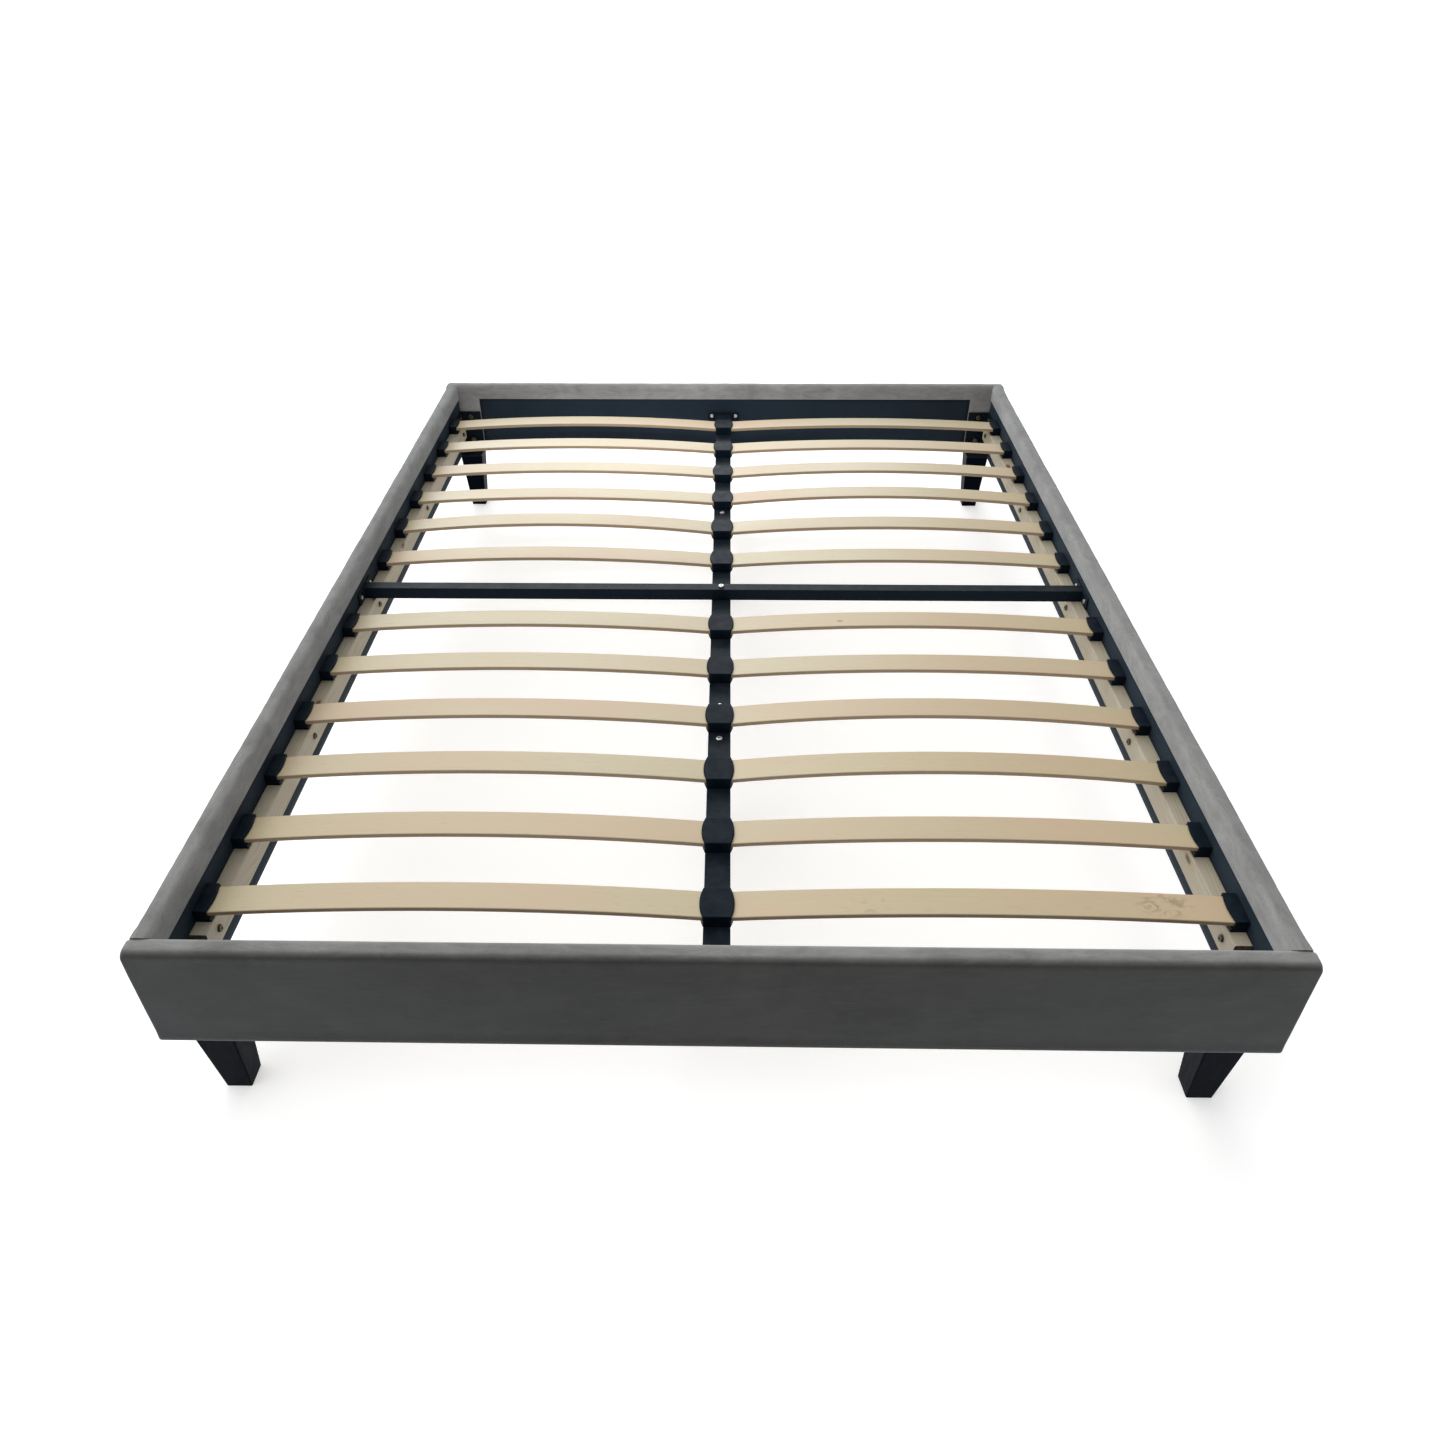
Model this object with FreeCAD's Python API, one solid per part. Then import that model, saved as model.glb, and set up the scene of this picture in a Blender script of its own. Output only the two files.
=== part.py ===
"""Upholstered platform bed frame with sprung slats.

Four padded rails stand on four tapered legs. Inside them a ledge on each side
rail and a steel beam down the middle carry two columns of arched slats, and a
steel bar ties the side rails together across the middle.

Frame: millimetres, +Z up, +Y towards the head, +X to the right of a person
who stands at the foot and faces the head. The origin is on the floor, under
the middle of the frame.
"""
import FreeCAD, Part
import math
import os

from FreeCAD import Vector

# --- overall size -----------------------------------------------------------
overall_width = 1600.0        # across the foot and head rails
overall_length = 2125.0       # outer face of foot rail to outer face of head rail
overall_height = 350.0        # floor to the top of the rails
rail_height = 190.0

# --- padded rails: a board, a padded cover and a lining ---------------------
board_thickness = 24.0
pad_outside = 4.5             # foam and fabric on the outer face and the ends
pad_top = 8.0                 # foam and fabric over the top edge of the board
wrap_thickness = 3.5          # fabric turned down over the inner face
wrap_depth = 40.0             # how far it comes down the inner face
bottom_turn = 2.0             # fabric turned under the bottom edge
lining_thickness = 1.5
lining_end_gap = 2.0          # an end rail's lining stops this far short of the brackets
top_edge_radius = 12.0
side_rail_inset = 4.0         # the end rails stand this far past the side rails
rail_joint_gap = 0.5

# --- ledges on the side rails -----------------------------------------------
ledge_drop = 82.0             # top of rail down to the top of the ledges and beam
ledge_width = 26.0
ledge_height = 45.0
ledge_end_gap = 74.0          # room for the corner bracket at each end
ledge_edge_radius = 2.0
ledge_bolt_count = 5
ledge_bolt_end_margin = 34.0

# --- centre beam and its hangers --------------------------------------------
beam_width = 40.0
beam_height = 40.0
tube_wall = 1.5
plate_thickness = 3.0
beam_end_gap = 1.0
hanger_plate_width = 90.0
hanger_plate_height = 50.0
hanger_plate_rise = 4.0       # plate stands this far above the beam
hanger_cradle_length = 45.0
hanger_cheek_height = 34.0
hanger_screw_spacing = 68.0
hanger_screw_drop = 10.0      # top of the plate down to the screws
cradle_gap = 0.5

# --- cross bar ---------------------------------------------------------------
bar_size = 25.0
bar_plate_length = 92.0
bar_screw_spacing = 64.0

# --- corner brackets and legs ------------------------------------------------
bracket_flange = 58.0
bracket_drop = 77.0           # top of rail down to the top of the bracket
bracket_bolt_drop = 91.0      # top of rail down to the upper bolts
bracket_bolt_spacing = 69.0
bracket_corner_radius = 4.0
leg_top_size = 62.0
leg_foot_size = 40.0
leg_centre_from_side = 61.0   # overall side face to the leg's centreline
leg_centre_from_end = 54.5    # overall end face to the leg's centreline
leg_edge_radius = 2.5

# --- slats and their caps ------------------------------------------------------
slat_width = 53.0
slat_thickness = 8.0
slat_edge_radius = 2.0
slat_rows_each_half = 6
middle_row_offset = 136.0     # centre of the bed to the nearest slat on each side
end_row_gap = 129.0           # an end rail's inner face to the middle of the last slat
# Bent ply never springs quite alike: each slat's rise, from the head to the foot.
rise_left = (15, 15, 15, 15, 22, 17, 16, 16, 18, 18, 18, 16)
rise_right = (12, 13, 17, 21, 17, 15, 17, 16, 24, 24, 16, 13)

cap_base = 8.0                # plastic under the slat
cap_lid = 2.5                 # plastic over the slat
cap_end_wall = 8.0            # plastic beyond the slat's end
cap_side_wall = 2.5
cap_slat_gap = 0.5            # play between a slat and its cap
side_cap_reach = 20.0         # how far a ledge cap reaches from the rail, at its corners
side_cap_bulge = 3.5          # and how much further in its middle
side_cap_gap = 0.5            # between the cap and the rail
centre_cap_reach = 20.5       # the same two sizes of the double cap on the beam
centre_cap_bulge = 5.5
cap_edge_radius = 1.5
peg_radius = 4.0
peg_length = 13.0
peg_hole_depth = 15.0
peg_gap = 0.2

# --- support legs under the beam and their levelling feet -----------------------
support_row = 3               # the support leg stands under this row, from the end
support_tube = 30.0
support_plate_length = 130.0
support_bolt_spacing = 98.0
support_end_height = 21.0     # floor to the bottom of the steel leg
foot_pad_radius = 20.0
foot_pad_height = 8.0
foot_pad_edge = 2.5
foot_hex_flats = 17.0
foot_hex_height = 5.0
foot_stem_radius = 5.0
foot_stem_top = 48.0
support_nut_flats = 17.0
support_nut_height = 8.0

# --- fasteners --------------------------------------------------------------------
frame_bolt_radius = 4.0       # M8: brackets, legs
frame_bolt_head_radius = 7.0
frame_bolt_head_height = 5.0
ledge_bolt_radius = 3.0       # M6: ledges, beam
ledge_bolt_head_radius = 6.0
ledge_bolt_head_height = 4.0
screw_radius = 2.5            # M5: hangers, end plates of the bar
screw_head_radius = 5.0
screw_head_height = 3.0
bite_in_board = 18.0          # how far a bolt goes into a rail's board
bite_in_leg = 35.0
hole_gap = 0.3                # radial clearance round every bolt
hole_end_gap = 1.0            # and beyond its tip
thread_gap = 0.05             # radial clearance where a thread turns in a nut
head_dome = 0.45              # rounding of a bolt's head, as a share of its height
socket_depth = 0.55           # and the depth of its socket
socket_flats = 0.8            # width of the socket, as a share of the head's radius
nut_flats = 10.0
nut_height = 5.0
bolt_tail = 2.0               # thread left standing out of a nut

# --- working allowances -----------------------------------------------------------
overcut = 1.0                 # a cutting solid stands this far past what it cuts
near = 0.01                   # two places closer than this are the same

# --- places that follow from the sizes -----------------------------------------
rail_bottom = overall_height - rail_height
half_width = overall_width / 2
half_length = overall_length / 2
lined_thickness = pad_outside + board_thickness + lining_thickness
wrapped_thickness = pad_outside + board_thickness + wrap_thickness
side_face = half_width - side_rail_inset              # outer face of a side rail
side_lining_face = side_face - lined_thickness
end_lining_face = half_length - lined_thickness
end_wrap_face = half_length - wrapped_thickness
side_rail_length = 2 * (end_wrap_face - rail_joint_gap)
end_lining_half = side_lining_face - bracket_flange - lining_end_gap
ledge_top = overall_height - ledge_drop
ledge_half = end_lining_face - ledge_end_gap
slat_pitch = (end_lining_face - end_row_gap - middle_row_offset) / (slat_rows_each_half - 1)
leg_x = half_width - leg_centre_from_side
leg_y = half_length - leg_centre_from_end
beam_bottom = ledge_top - beam_height
beam_half = end_lining_face - plate_thickness - beam_end_gap
support_y = middle_row_offset + (slat_rows_each_half - 1 - support_row) * slat_pitch

slat_outer_end = side_lining_face - side_cap_gap - cap_end_wall
slat_inner_end = cap_end_wall
slat_length = slat_outer_end - slat_inner_end
steepest = 4 * max(rise_left + rise_right) / slat_length
slot_run = centre_cap_reach + centre_cap_bulge - cap_end_wall
slot_height = slat_thickness + steepest * slot_run + cap_slat_gap
cap_height = cap_base + slot_height + cap_lid
cap_half = slat_width / 2 + cap_slat_gap + cap_side_wall

head_rows = [middle_row_offset + i * slat_pitch for i in range(slat_rows_each_half)]
row_places = sorted(head_rows + [-y for y in head_rows], reverse=True)


# --- small shape helpers ----------------------------------------------------------
def block(x0, x1, y0, y1, z0, z1):
    """Box between two corners, given in any order."""
    low = Vector(min(x0, x1), min(y0, y1), min(z0, z1))
    return Part.makeBox(abs(x1 - x0), abs(y1 - y0), abs(z1 - z0), low)


def square_tube(size_a, size_b, wall, length):
    """Rectangular tube along +Z, centred on the Z axis, from z = 0."""
    outer = block(-size_a / 2, size_a / 2, -size_b / 2, size_b / 2, 0, length)
    inner = block(-size_a / 2 + wall, size_a / 2 - wall,
                  -size_b / 2 + wall, size_b / 2 - wall, -overcut, length + overcut)
    return outer.cut(inner)


def hexagon(flats, height, base_z=0.0, bore=0.0):
    """Hexagonal prism on the Z axis, with an optional round bore."""
    corner = flats / math.sqrt(3)
    turns = [math.radians(60 * i) for i in range(7)]
    outline = [Vector(corner * math.cos(a), corner * math.sin(a), base_z) for a in turns]
    prism = Part.Face(Part.makePolygon(outline)).extrude(Vector(0, 0, height))
    if bore > 0:
        drill = Part.makeCylinder(bore, height + 2 * overcut, Vector(0, 0, base_z - overcut))
        prism = prism.cut(drill)
    return prism


def eased(solid, radius, picks):
    """Fillet the straight or curved edges for which picks(edge) is true."""
    return solid.makeFillet(radius, [edge for edge in solid.Edges if picks(edge)])


def along(edge, axis):
    """True for a straight edge that runs along the named axis."""
    if len(edge.Vertexes) < 2:
        return False
    run = edge.Vertexes[1].Point.sub(edge.Vertexes[0].Point)
    return run.Length > near and run.Length - abs(getattr(run, axis)) < near


def mirrored_x(shape):
    return shape.mirror(Vector(0, 0, 0), Vector(1, 0, 0))


def mirrored_y(shape):
    return shape.mirror(Vector(0, 0, 0), Vector(0, 1, 0))


def write(node, *solids):
    """Export one node, as one solid or as a group of separate ones."""
    shape = solids[0] if len(solids) == 1 else Part.makeCompound(list(solids))
    shape.exportStep("parts/" + node + ".step")


# --- bolts and the holes that they need -------------------------------------------
class Bolt:
    """A bolt whose head bears on the point seat and whose shank runs along way."""

    def __init__(self, seat, way, length, shank, head_radius, head_height, nut_at=0.0):
        self.seat = Vector(*seat)
        self.way = Vector(*way)
        self.length = length
        self.shank = shank
        self.head_radius = head_radius
        self.head_height = head_height
        self.nut_at = nut_at

    def _placed(self, shape):
        turn = FreeCAD.Rotation(Vector(0, 0, 1), self.way)
        shape.Placement = FreeCAD.Placement(self.seat, turn)
        return shape

    def solids(self):
        """The bolt, and its nut where it has one, with a socket in the domed head."""
        head = Part.makeCylinder(self.head_radius, self.head_height,
                                 Vector(0, 0, -self.head_height))
        top = [e for e in head.Edges if e.BoundBox.ZMax < -self.head_height + near
               and len(e.Vertexes) == 1]
        head = head.makeFillet(self.head_height * head_dome, top)
        socket = hexagon(self.head_radius * socket_flats, self.head_height * socket_depth,
                         -self.head_height)
        shank = Part.makeCylinder(self.shank, self.length)
        made = [self._placed(head.cut(socket).fuse(shank).removeSplitter())]
        if self.nut_at > 0:
            nut = hexagon(nut_flats, nut_height, self.nut_at, self.shank + thread_gap)
            made.append(self._placed(nut))
        return made

    def hole(self):
        """The clear hole for the shank."""
        return self._placed(Part.makeCylinder(self.shank + hole_gap, self.length + hole_end_gap))


def drilled(shape, bolts):
    """Cut the clear holes of those bolts that pass through the shape."""
    for bolt in bolts:
        hole = bolt.hole()
        if hole.BoundBox.intersect(shape.BoundBox):
            shape = shape.cut(hole)
    return shape


def frame_bolt(seat, way, length):
    return Bolt(seat, way, length, frame_bolt_radius,
                frame_bolt_head_radius, frame_bolt_head_height)


def ledge_bolt(seat, way, length, nut_at=0.0):
    return Bolt(seat, way, length, ledge_bolt_radius,
                ledge_bolt_head_radius, ledge_bolt_head_height, nut_at)


def small_screw(seat, way, length):
    return Bolt(seat, way, length, screw_radius, screw_head_radius, screw_head_height)


def corner_bolts():
    """Two bolts through each flange of each bracket, and one down into each leg."""
    bolts = []
    flange_middle = bracket_flange / 2
    for sx in (-1, 1):
        for sy in (-1, 1):
            for step in (0, 1):
                z = overall_height - bracket_bolt_drop - step * bracket_bolt_spacing
                end_seat = (sx * (side_lining_face - flange_middle),
                            sy * (end_wrap_face - plate_thickness), z)
                through_end = plate_thickness + wrap_thickness + bite_in_board
                bolts.append(frame_bolt(end_seat, (0, sy, 0), through_end))
                side_seat = (sx * (side_lining_face - plate_thickness),
                             sy * (end_wrap_face - flange_middle), z)
                through_side = plate_thickness + lining_thickness + bite_in_board
                bolts.append(frame_bolt(side_seat, (sx, 0, 0), through_side))
            leg_seat = (sx * leg_x, sy * leg_y, rail_bottom + plate_thickness)
            bolts.append(frame_bolt(leg_seat, (0, 0, -1), plate_thickness + bite_in_leg))
    return bolts


def ledge_bolts():
    """A row of bolts through each ledge into the side rail's board."""
    bolts = []
    outermost = ledge_half - ledge_bolt_end_margin
    spacing = 2 * outermost / (ledge_bolt_count - 1)
    for sx in (-1, 1):
        for i in range(ledge_bolt_count):
            seat = (sx * (side_lining_face - ledge_width),
                    -outermost + i * spacing,
                    ledge_top - ledge_height / 2)
            reach = ledge_width + lining_thickness + bite_in_board
            bolts.append(ledge_bolt(seat, (sx, 0, 0), reach))
    return bolts


def hanger_screws():
    """Two screws hold each beam hanger to an end rail."""
    reach = plate_thickness + lining_thickness + bite_in_board
    z = ledge_top + hanger_plate_rise - hanger_screw_drop
    return [small_screw((sx * hanger_screw_spacing / 2,
                         sy * (end_lining_face - plate_thickness), z), (0, sy, 0), reach)
            for sx in (-1, 1) for sy in (-1, 1)]


def bar_bolts():
    """Screws through the bar's end plates, and the bolt where it crosses the beam."""
    reach = plate_thickness + lining_thickness + bite_in_board
    z = ledge_top + bar_size / 2
    bolts = [small_screw((sx * (side_lining_face - plate_thickness),
                          sy * bar_screw_spacing / 2, z), (sx, 0, 0), reach)
             for sx in (-1, 1) for sy in (-1, 1)]
    through = bar_size + beam_height
    bolts.append(ledge_bolt((0, 0, ledge_top + bar_size), (0, 0, -1),
                            through + nut_height + bolt_tail, nut_at=through))
    return bolts


def support_bolts():
    """Two bolts go down through the beam and each support leg's top plate."""
    through = beam_height + plate_thickness
    return [ledge_bolt((0, sy * support_y + step * support_bolt_spacing / 2, ledge_top),
                       (0, 0, -1), through + nut_height + bolt_tail, nut_at=through)
            for sy in (-1, 1) for step in (-1, 1)]


# --- padded rails --------------------------------------------------------------------
def rail_parts(length, end_pad, lining_half):
    """Board, cover and lining of one rail, built along X with y = 0 on its outer face.

    end_pad is the padding past each end of the board, and lining_half is half
    the length of the lining: past it the fabric covers the whole inner face.
    """
    half = length / 2
    board_inner = pad_outside + board_thickness
    board = block(-half + end_pad, half - end_pad, pad_outside, board_inner,
                  rail_bottom + bottom_turn, overall_height - pad_top)

    def top_edge(edge):
        high = edge.BoundBox.ZMin > overall_height - near
        return high and (along(edge, "x") or (end_pad > 0 and along(edge, "y")))

    cover = block(-half, half, 0, wrapped_thickness, rail_bottom, overall_height)
    cover = eased(cover, top_edge_radius, top_edge)
    wrap_bottom = overall_height - wrap_depth
    open_inside = block(-lining_half, lining_half, board_inner, wrapped_thickness + overcut,
                        rail_bottom - overcut, wrap_bottom)
    cover = cover.cut(board).cut(open_inside)

    lining = block(-lining_half, lining_half, board_inner,
                   board_inner + lining_thickness, rail_bottom, wrap_bottom)
    return {"board": board, "cover": cover, "lining": lining}


def stand_rail(shape, outer_face, turn):
    """Turn a rail about +Z and move its outer face out to its place."""
    shape = shape.copy()
    shape.rotate(Vector(0, 0, 0), Vector(0, 0, 1), turn)
    away = FreeCAD.Rotation(Vector(0, 0, 1), turn).multVec(Vector(0, -outer_face, 0))
    shape.translate(away)
    return shape


def make_rails(bolts):
    end_rail = rail_parts(overall_width, pad_outside, end_lining_half)
    side_rail = rail_parts(side_rail_length, 0.0, side_rail_length / 2)
    places = {"foot": (end_rail, half_length, 0),
              "head": (end_rail, half_length, 180),
              "left": (side_rail, side_face, -90),
              "right": (side_rail, side_face, 90)}
    for side, (parts, outer_face, turn) in places.items():
        for layer, shape in parts.items():
            placed = stand_rail(shape, outer_face, turn)
            write(side + "_rail_" + layer, drilled(placed, bolts))


# --- ledges, beam, hangers and cross bar --------------------------------------------
def peg_hole(x, y, top):
    return Part.makeCylinder(peg_radius + peg_gap, peg_hole_depth,
                             Vector(x, y, top - peg_hole_depth))


def peg_x():
    """Distance of a ledge cap's peg from the middle of the bed."""
    return side_lining_face - ledge_width / 2


def make_ledges(bolts):
    right = block(side_lining_face - ledge_width, side_lining_face,
                  -ledge_half, ledge_half, ledge_top - ledge_height, ledge_top)
    right = eased(right, ledge_edge_radius, lambda edge: along(edge, "y"))
    for y in row_places:
        right = right.cut(peg_hole(peg_x(), y, ledge_top))
    write("right_ledge", drilled(right, bolts))
    write("left_ledge", drilled(mirrored_x(right), bolts))


def make_beam(bolts):
    beam = square_tube(beam_width, beam_height, tube_wall, 2 * beam_half)
    beam.rotate(Vector(0, 0, 0), Vector(1, 0, 0), -90)
    beam.translate(Vector(0, -beam_half, beam_bottom + beam_height / 2))
    for y in row_places:
        beam = beam.cut(peg_hole(0, y, ledge_top))
    write("centre_beam", drilled(beam, bolts))


def make_hangers(bolts):
    """A screwed back plate with a U cradle that the beam drops into."""
    plate_top = ledge_top + hanger_plate_rise
    inner_half = beam_width / 2 + cradle_gap
    outer_half = inner_half + plate_thickness
    back = end_lining_face - plate_thickness
    front = back - hanger_cradle_length
    plate = block(-hanger_plate_width / 2, hanger_plate_width / 2, back, end_lining_face,
                  plate_top - hanger_plate_height, plate_top)
    plate = eased(plate, bracket_corner_radius, lambda edge: along(edge, "y"))
    floor = block(-outer_half, outer_half, front, back,
                  beam_bottom - plate_thickness, beam_bottom)
    hanger = plate.fuse(floor)
    for side in (-1, 1):
        hanger = hanger.fuse(block(side * inner_half, side * outer_half, front, back,
                                   beam_bottom, beam_bottom + hanger_cheek_height))
    hanger = hanger.removeSplitter()
    write("beam_hanger_head", drilled(hanger, bolts))
    write("beam_hanger_foot", drilled(mirrored_y(hanger), bolts))


def make_cross_bar(bolts):
    """Square tube over the ledges and the beam, with a plate welded on each end."""
    half = side_lining_face - plate_thickness
    bar = square_tube(bar_size, bar_size, tube_wall, 2 * half)
    bar.rotate(Vector(0, 0, 0), Vector(0, 1, 0), 90)
    bar.translate(Vector(-half, 0, ledge_top + bar_size / 2))
    for side in (-1, 1):
        plate = block(side * half, side * side_lining_face,
                      -bar_plate_length / 2, bar_plate_length / 2,
                      ledge_top, ledge_top + bar_size)
        plate = eased(plate, bracket_corner_radius, lambda edge: along(edge, "x"))
        bar = bar.fuse(plate)
    write("cross_bar", drilled(bar.removeSplitter(), bolts))


# --- corner brackets and legs ----------------------------------------------------------
def make_corners(bolts):
    """One bracket and one leg, mirrored to the four corners."""
    bracket_top = overall_height - bracket_drop
    inner_x = side_lining_face - bracket_flange
    inner_y = end_wrap_face - bracket_flange
    on_end = block(inner_x, side_lining_face, end_wrap_face - plate_thickness,
                   end_wrap_face, rail_bottom, bracket_top)
    on_side = block(side_lining_face - plate_thickness, side_lining_face, inner_y,
                    end_wrap_face, rail_bottom, bracket_top)
    on_leg = block(inner_x, side_lining_face, inner_y, end_wrap_face,
                   rail_bottom, rail_bottom + plate_thickness)
    bracket = on_end.fuse(on_side).fuse(on_leg).removeSplitter()

    def square_at(z, size):
        h = size / 2
        corners = [Vector(leg_x + a * h, leg_y + b * h, z)
                   for a, b in ((-1, -1), (1, -1), (1, 1), (-1, 1), (-1, -1))]
        return Part.makePolygon(corners)

    leg = Part.makeLoft([square_at(0, leg_foot_size), square_at(rail_bottom, leg_top_size)],
                        True, True)

    def standing(edge):
        return edge.BoundBox.ZMax - edge.BoundBox.ZMin > rail_bottom - near

    leg = eased(leg, leg_edge_radius, standing)
    corners = {"head_right": lambda s: s, "head_left": mirrored_x,
               "foot_right": mirrored_y, "foot_left": lambda s: mirrored_x(mirrored_y(s))}
    for corner, place in corners.items():
        write("corner_bracket_" + corner, drilled(place(bracket), bolts))
        write("leg_" + corner, drilled(place(leg), bolts))


# --- slats ------------------------------------------------------------------------------
def eased_section(width, thickness, radius):
    """Rounded rectangle in the YZ plane, its upper side on z = 0."""
    y, corners = width / 2 - radius, []
    for cy, cz, start in ((y, -radius, 0), (-y, -radius, 90),
                          (-y, radius - thickness, 180), (y, radius - thickness, 270)):
        on_arc = [Vector(0, cy + radius * math.cos(math.radians(start + turn)),
                         cz + radius * math.sin(math.radians(start + turn)))
                  for turn in (0, 45, 90)]
        corners.append(on_arc)
    edges = []
    for here, after in zip(corners, corners[1:] + corners[:1]):
        edges.append(Part.Arc(*here).toShape())
        edges.append(Part.makeLine(here[2], after[0]))
    return Part.Face(Part.Wire(edges))


def slat(rise, y):
    """One slat on the right-hand side, bent to an arc across row y."""
    half_chord = slat_length / 2
    radius = (half_chord ** 2 + rise ** 2) / (2 * rise)
    swing = math.degrees(math.asin(half_chord / radius))
    crown = ledge_top + cap_base + slat_thickness + rise
    centre = Vector(slat_inner_end + half_chord, y, crown - radius)
    section = eased_section(slat_width, slat_thickness, slat_edge_radius)
    section.translate(Vector(centre.x, y, crown))
    section.rotate(centre, Vector(0, 1, 0), -swing)
    return section.revolve(centre, Vector(0, 1, 0), 2 * swing)


def make_slats():
    for number, y in enumerate(row_places, start=1):
        write("slat_right_%02d" % number, slat(rise_right[number - 1], y))
        write("slat_left_%02d" % number, mirrored_x(slat(rise_left[number - 1], y)))


# --- slat caps -----------------------------------------------------------------------------
def bowed_plan(reach, bulge, back, height, base_z):
    """Prism whose side towards the slat bows out: y along the bed, x towards the slat."""
    bow = Part.Arc(Vector(reach, -cap_half, base_z), Vector(reach + bulge, 0, base_z),
                   Vector(reach, cap_half, base_z)).toShape()
    rest = Part.makePolygon([Vector(reach, cap_half, base_z), Vector(back, cap_half, base_z),
                             Vector(back, -cap_half, base_z), Vector(reach, -cap_half, base_z)])
    face = Part.Face(Part.Wire(Part.__sortEdges__([bow] + list(rest.Edges))))
    return face.extrude(Vector(0, 0, height))


def slat_slot(from_x, to_x):
    """The pocket that a slat's end sits in, open towards the slat."""
    half = slat_width / 2 + cap_slat_gap
    return block(from_x, to_x, -half, half, cap_base, cap_base + slot_height)


def upper_edges(edge):
    return edge.BoundBox.ZMin > cap_height - near


def side_cap():
    """Cap on a ledge: x = 0 at the rail and growing towards the slat, z = 0 on the ledge."""
    lid = bowed_plan(side_cap_reach, side_cap_bulge, side_cap_gap, cap_height, 0)
    lid = eased(lid, cap_edge_radius, upper_edges)
    shelf = block(side_cap_gap, ledge_width - ledge_edge_radius, -cap_half, cap_half,
                  0, cap_base)
    slot = slat_slot(side_cap_gap + cap_end_wall - cap_slat_gap,
                     side_cap_reach + side_cap_bulge + overcut)
    peg = Part.makeCylinder(peg_radius, peg_length, Vector(ledge_width / 2, 0, -peg_length))
    return lid.cut(slot).fuse(shelf).fuse(peg).removeSplitter()


def centre_cap():
    """Double cap on the beam: x = 0 on the beam's centreline, z = 0 on the beam."""
    right = bowed_plan(centre_cap_reach, centre_cap_bulge, 0, cap_height, 0)
    cap = right.fuse(mirrored_x(right)).removeSplitter()
    cap = eased(cap, cap_edge_radius, upper_edges)
    slot = slat_slot(cap_end_wall - cap_slat_gap, centre_cap_reach + centre_cap_bulge + overcut)
    cap = cap.cut(slot).cut(mirrored_x(slot))
    peg = Part.makeCylinder(peg_radius, peg_length, Vector(0, 0, -peg_length))
    return cap.fuse(peg).removeSplitter()


def make_caps():
    on_ledge = mirrored_x(side_cap())
    on_ledge.translate(Vector(side_lining_face, 0, ledge_top))
    on_beam = centre_cap()
    on_beam.translate(Vector(0, 0, ledge_top))

    def row_of(cap):
        caps = []
        for y in row_places:
            one = cap.copy()
            one.translate(Vector(0, y, 0))
            caps.append(one)
        return caps

    write("slat_caps_right", *row_of(on_ledge))
    write("slat_caps_left", *row_of(mirrored_x(on_ledge)))
    write("slat_caps_centre", *row_of(on_beam))


# --- support legs and levelling feet ----------------------------------------------------------
def make_support_legs(bolts):
    """Square tube with a bolted top plate, a closed lower end and a welded nut in it."""
    bore = foot_stem_radius + thread_gap
    plate_bottom = beam_bottom - plate_thickness
    top_plate = block(-beam_width / 2, beam_width / 2, -support_plate_length / 2,
                      support_plate_length / 2, plate_bottom, beam_bottom)
    top_plate = eased(top_plate, bracket_corner_radius, lambda edge: along(edge, "z"))
    end_plate_top = support_end_height + plate_thickness
    tube = square_tube(support_tube, support_tube, tube_wall, plate_bottom - support_end_height)
    tube.translate(Vector(0, 0, support_end_height))
    inside = support_tube / 2 - tube_wall
    end_plate = block(-inside, inside, -inside, inside, support_end_height, end_plate_top)
    nut = hexagon(support_nut_flats, support_nut_height, end_plate_top)
    leg = top_plate.fuse(tube).fuse(end_plate).fuse(nut).removeSplitter()
    leg = leg.cut(Part.makeCylinder(bore, end_plate_top + support_nut_height))
    for name, side in (("rear", 1), ("front", -1)):
        placed = leg.copy()
        placed.translate(Vector(0, side * support_y, 0))
        write("support_leg_" + name, drilled(placed, bolts))


def make_levelling_feet():
    """Round pad, a hexagon for the spanner and the threaded stem, in one piece."""
    pad = Part.makeCylinder(foot_pad_radius, foot_pad_height)
    pad = eased(pad, foot_pad_edge, lambda edge: edge.BoundBox.ZMin > foot_pad_height - near)
    hexagon_top = foot_pad_height + foot_hex_height
    foot = pad.fuse(hexagon(foot_hex_flats, foot_hex_height, foot_pad_height))
    foot = foot.fuse(Part.makeCylinder(foot_stem_radius, foot_stem_top - hexagon_top,
                                       Vector(0, 0, hexagon_top)))
    foot = foot.removeSplitter()
    for name, side in (("rear", 1), ("front", -1)):
        placed = foot.copy()
        placed.translate(Vector(0, side * support_y, 0))
        write("levelling_foot_" + name, placed)


def bolt_solids(bolts):
    return [solid for bolt in bolts for solid in bolt.solids()]


os.makedirs("parts", exist_ok=True)
at_corners = corner_bolts()
at_ledges = ledge_bolts()
at_beam = hanger_screws() + bar_bolts() + support_bolts()
every_bolt = at_corners + at_ledges + at_beam

make_rails(every_bolt)
make_ledges(every_bolt)
make_beam(every_bolt)
make_hangers(every_bolt)
make_cross_bar(every_bolt)
make_corners(every_bolt)
make_slats()
make_caps()
make_support_legs(every_bolt)
make_levelling_feet()
write("corner_bolts", *bolt_solids(at_corners))
write("ledge_bolts", *bolt_solids(at_ledges))
write("beam_bolts", *bolt_solids(at_beam))
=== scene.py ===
"""Looks of an upholstered platform bed frame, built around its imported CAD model.

The sections follow the bed as it is put together, from the rails to the slats, and the studio
comes last. Everything is in metres, +Z up, +Y towards the head, with the origin on the floor.
"""

import math

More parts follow.
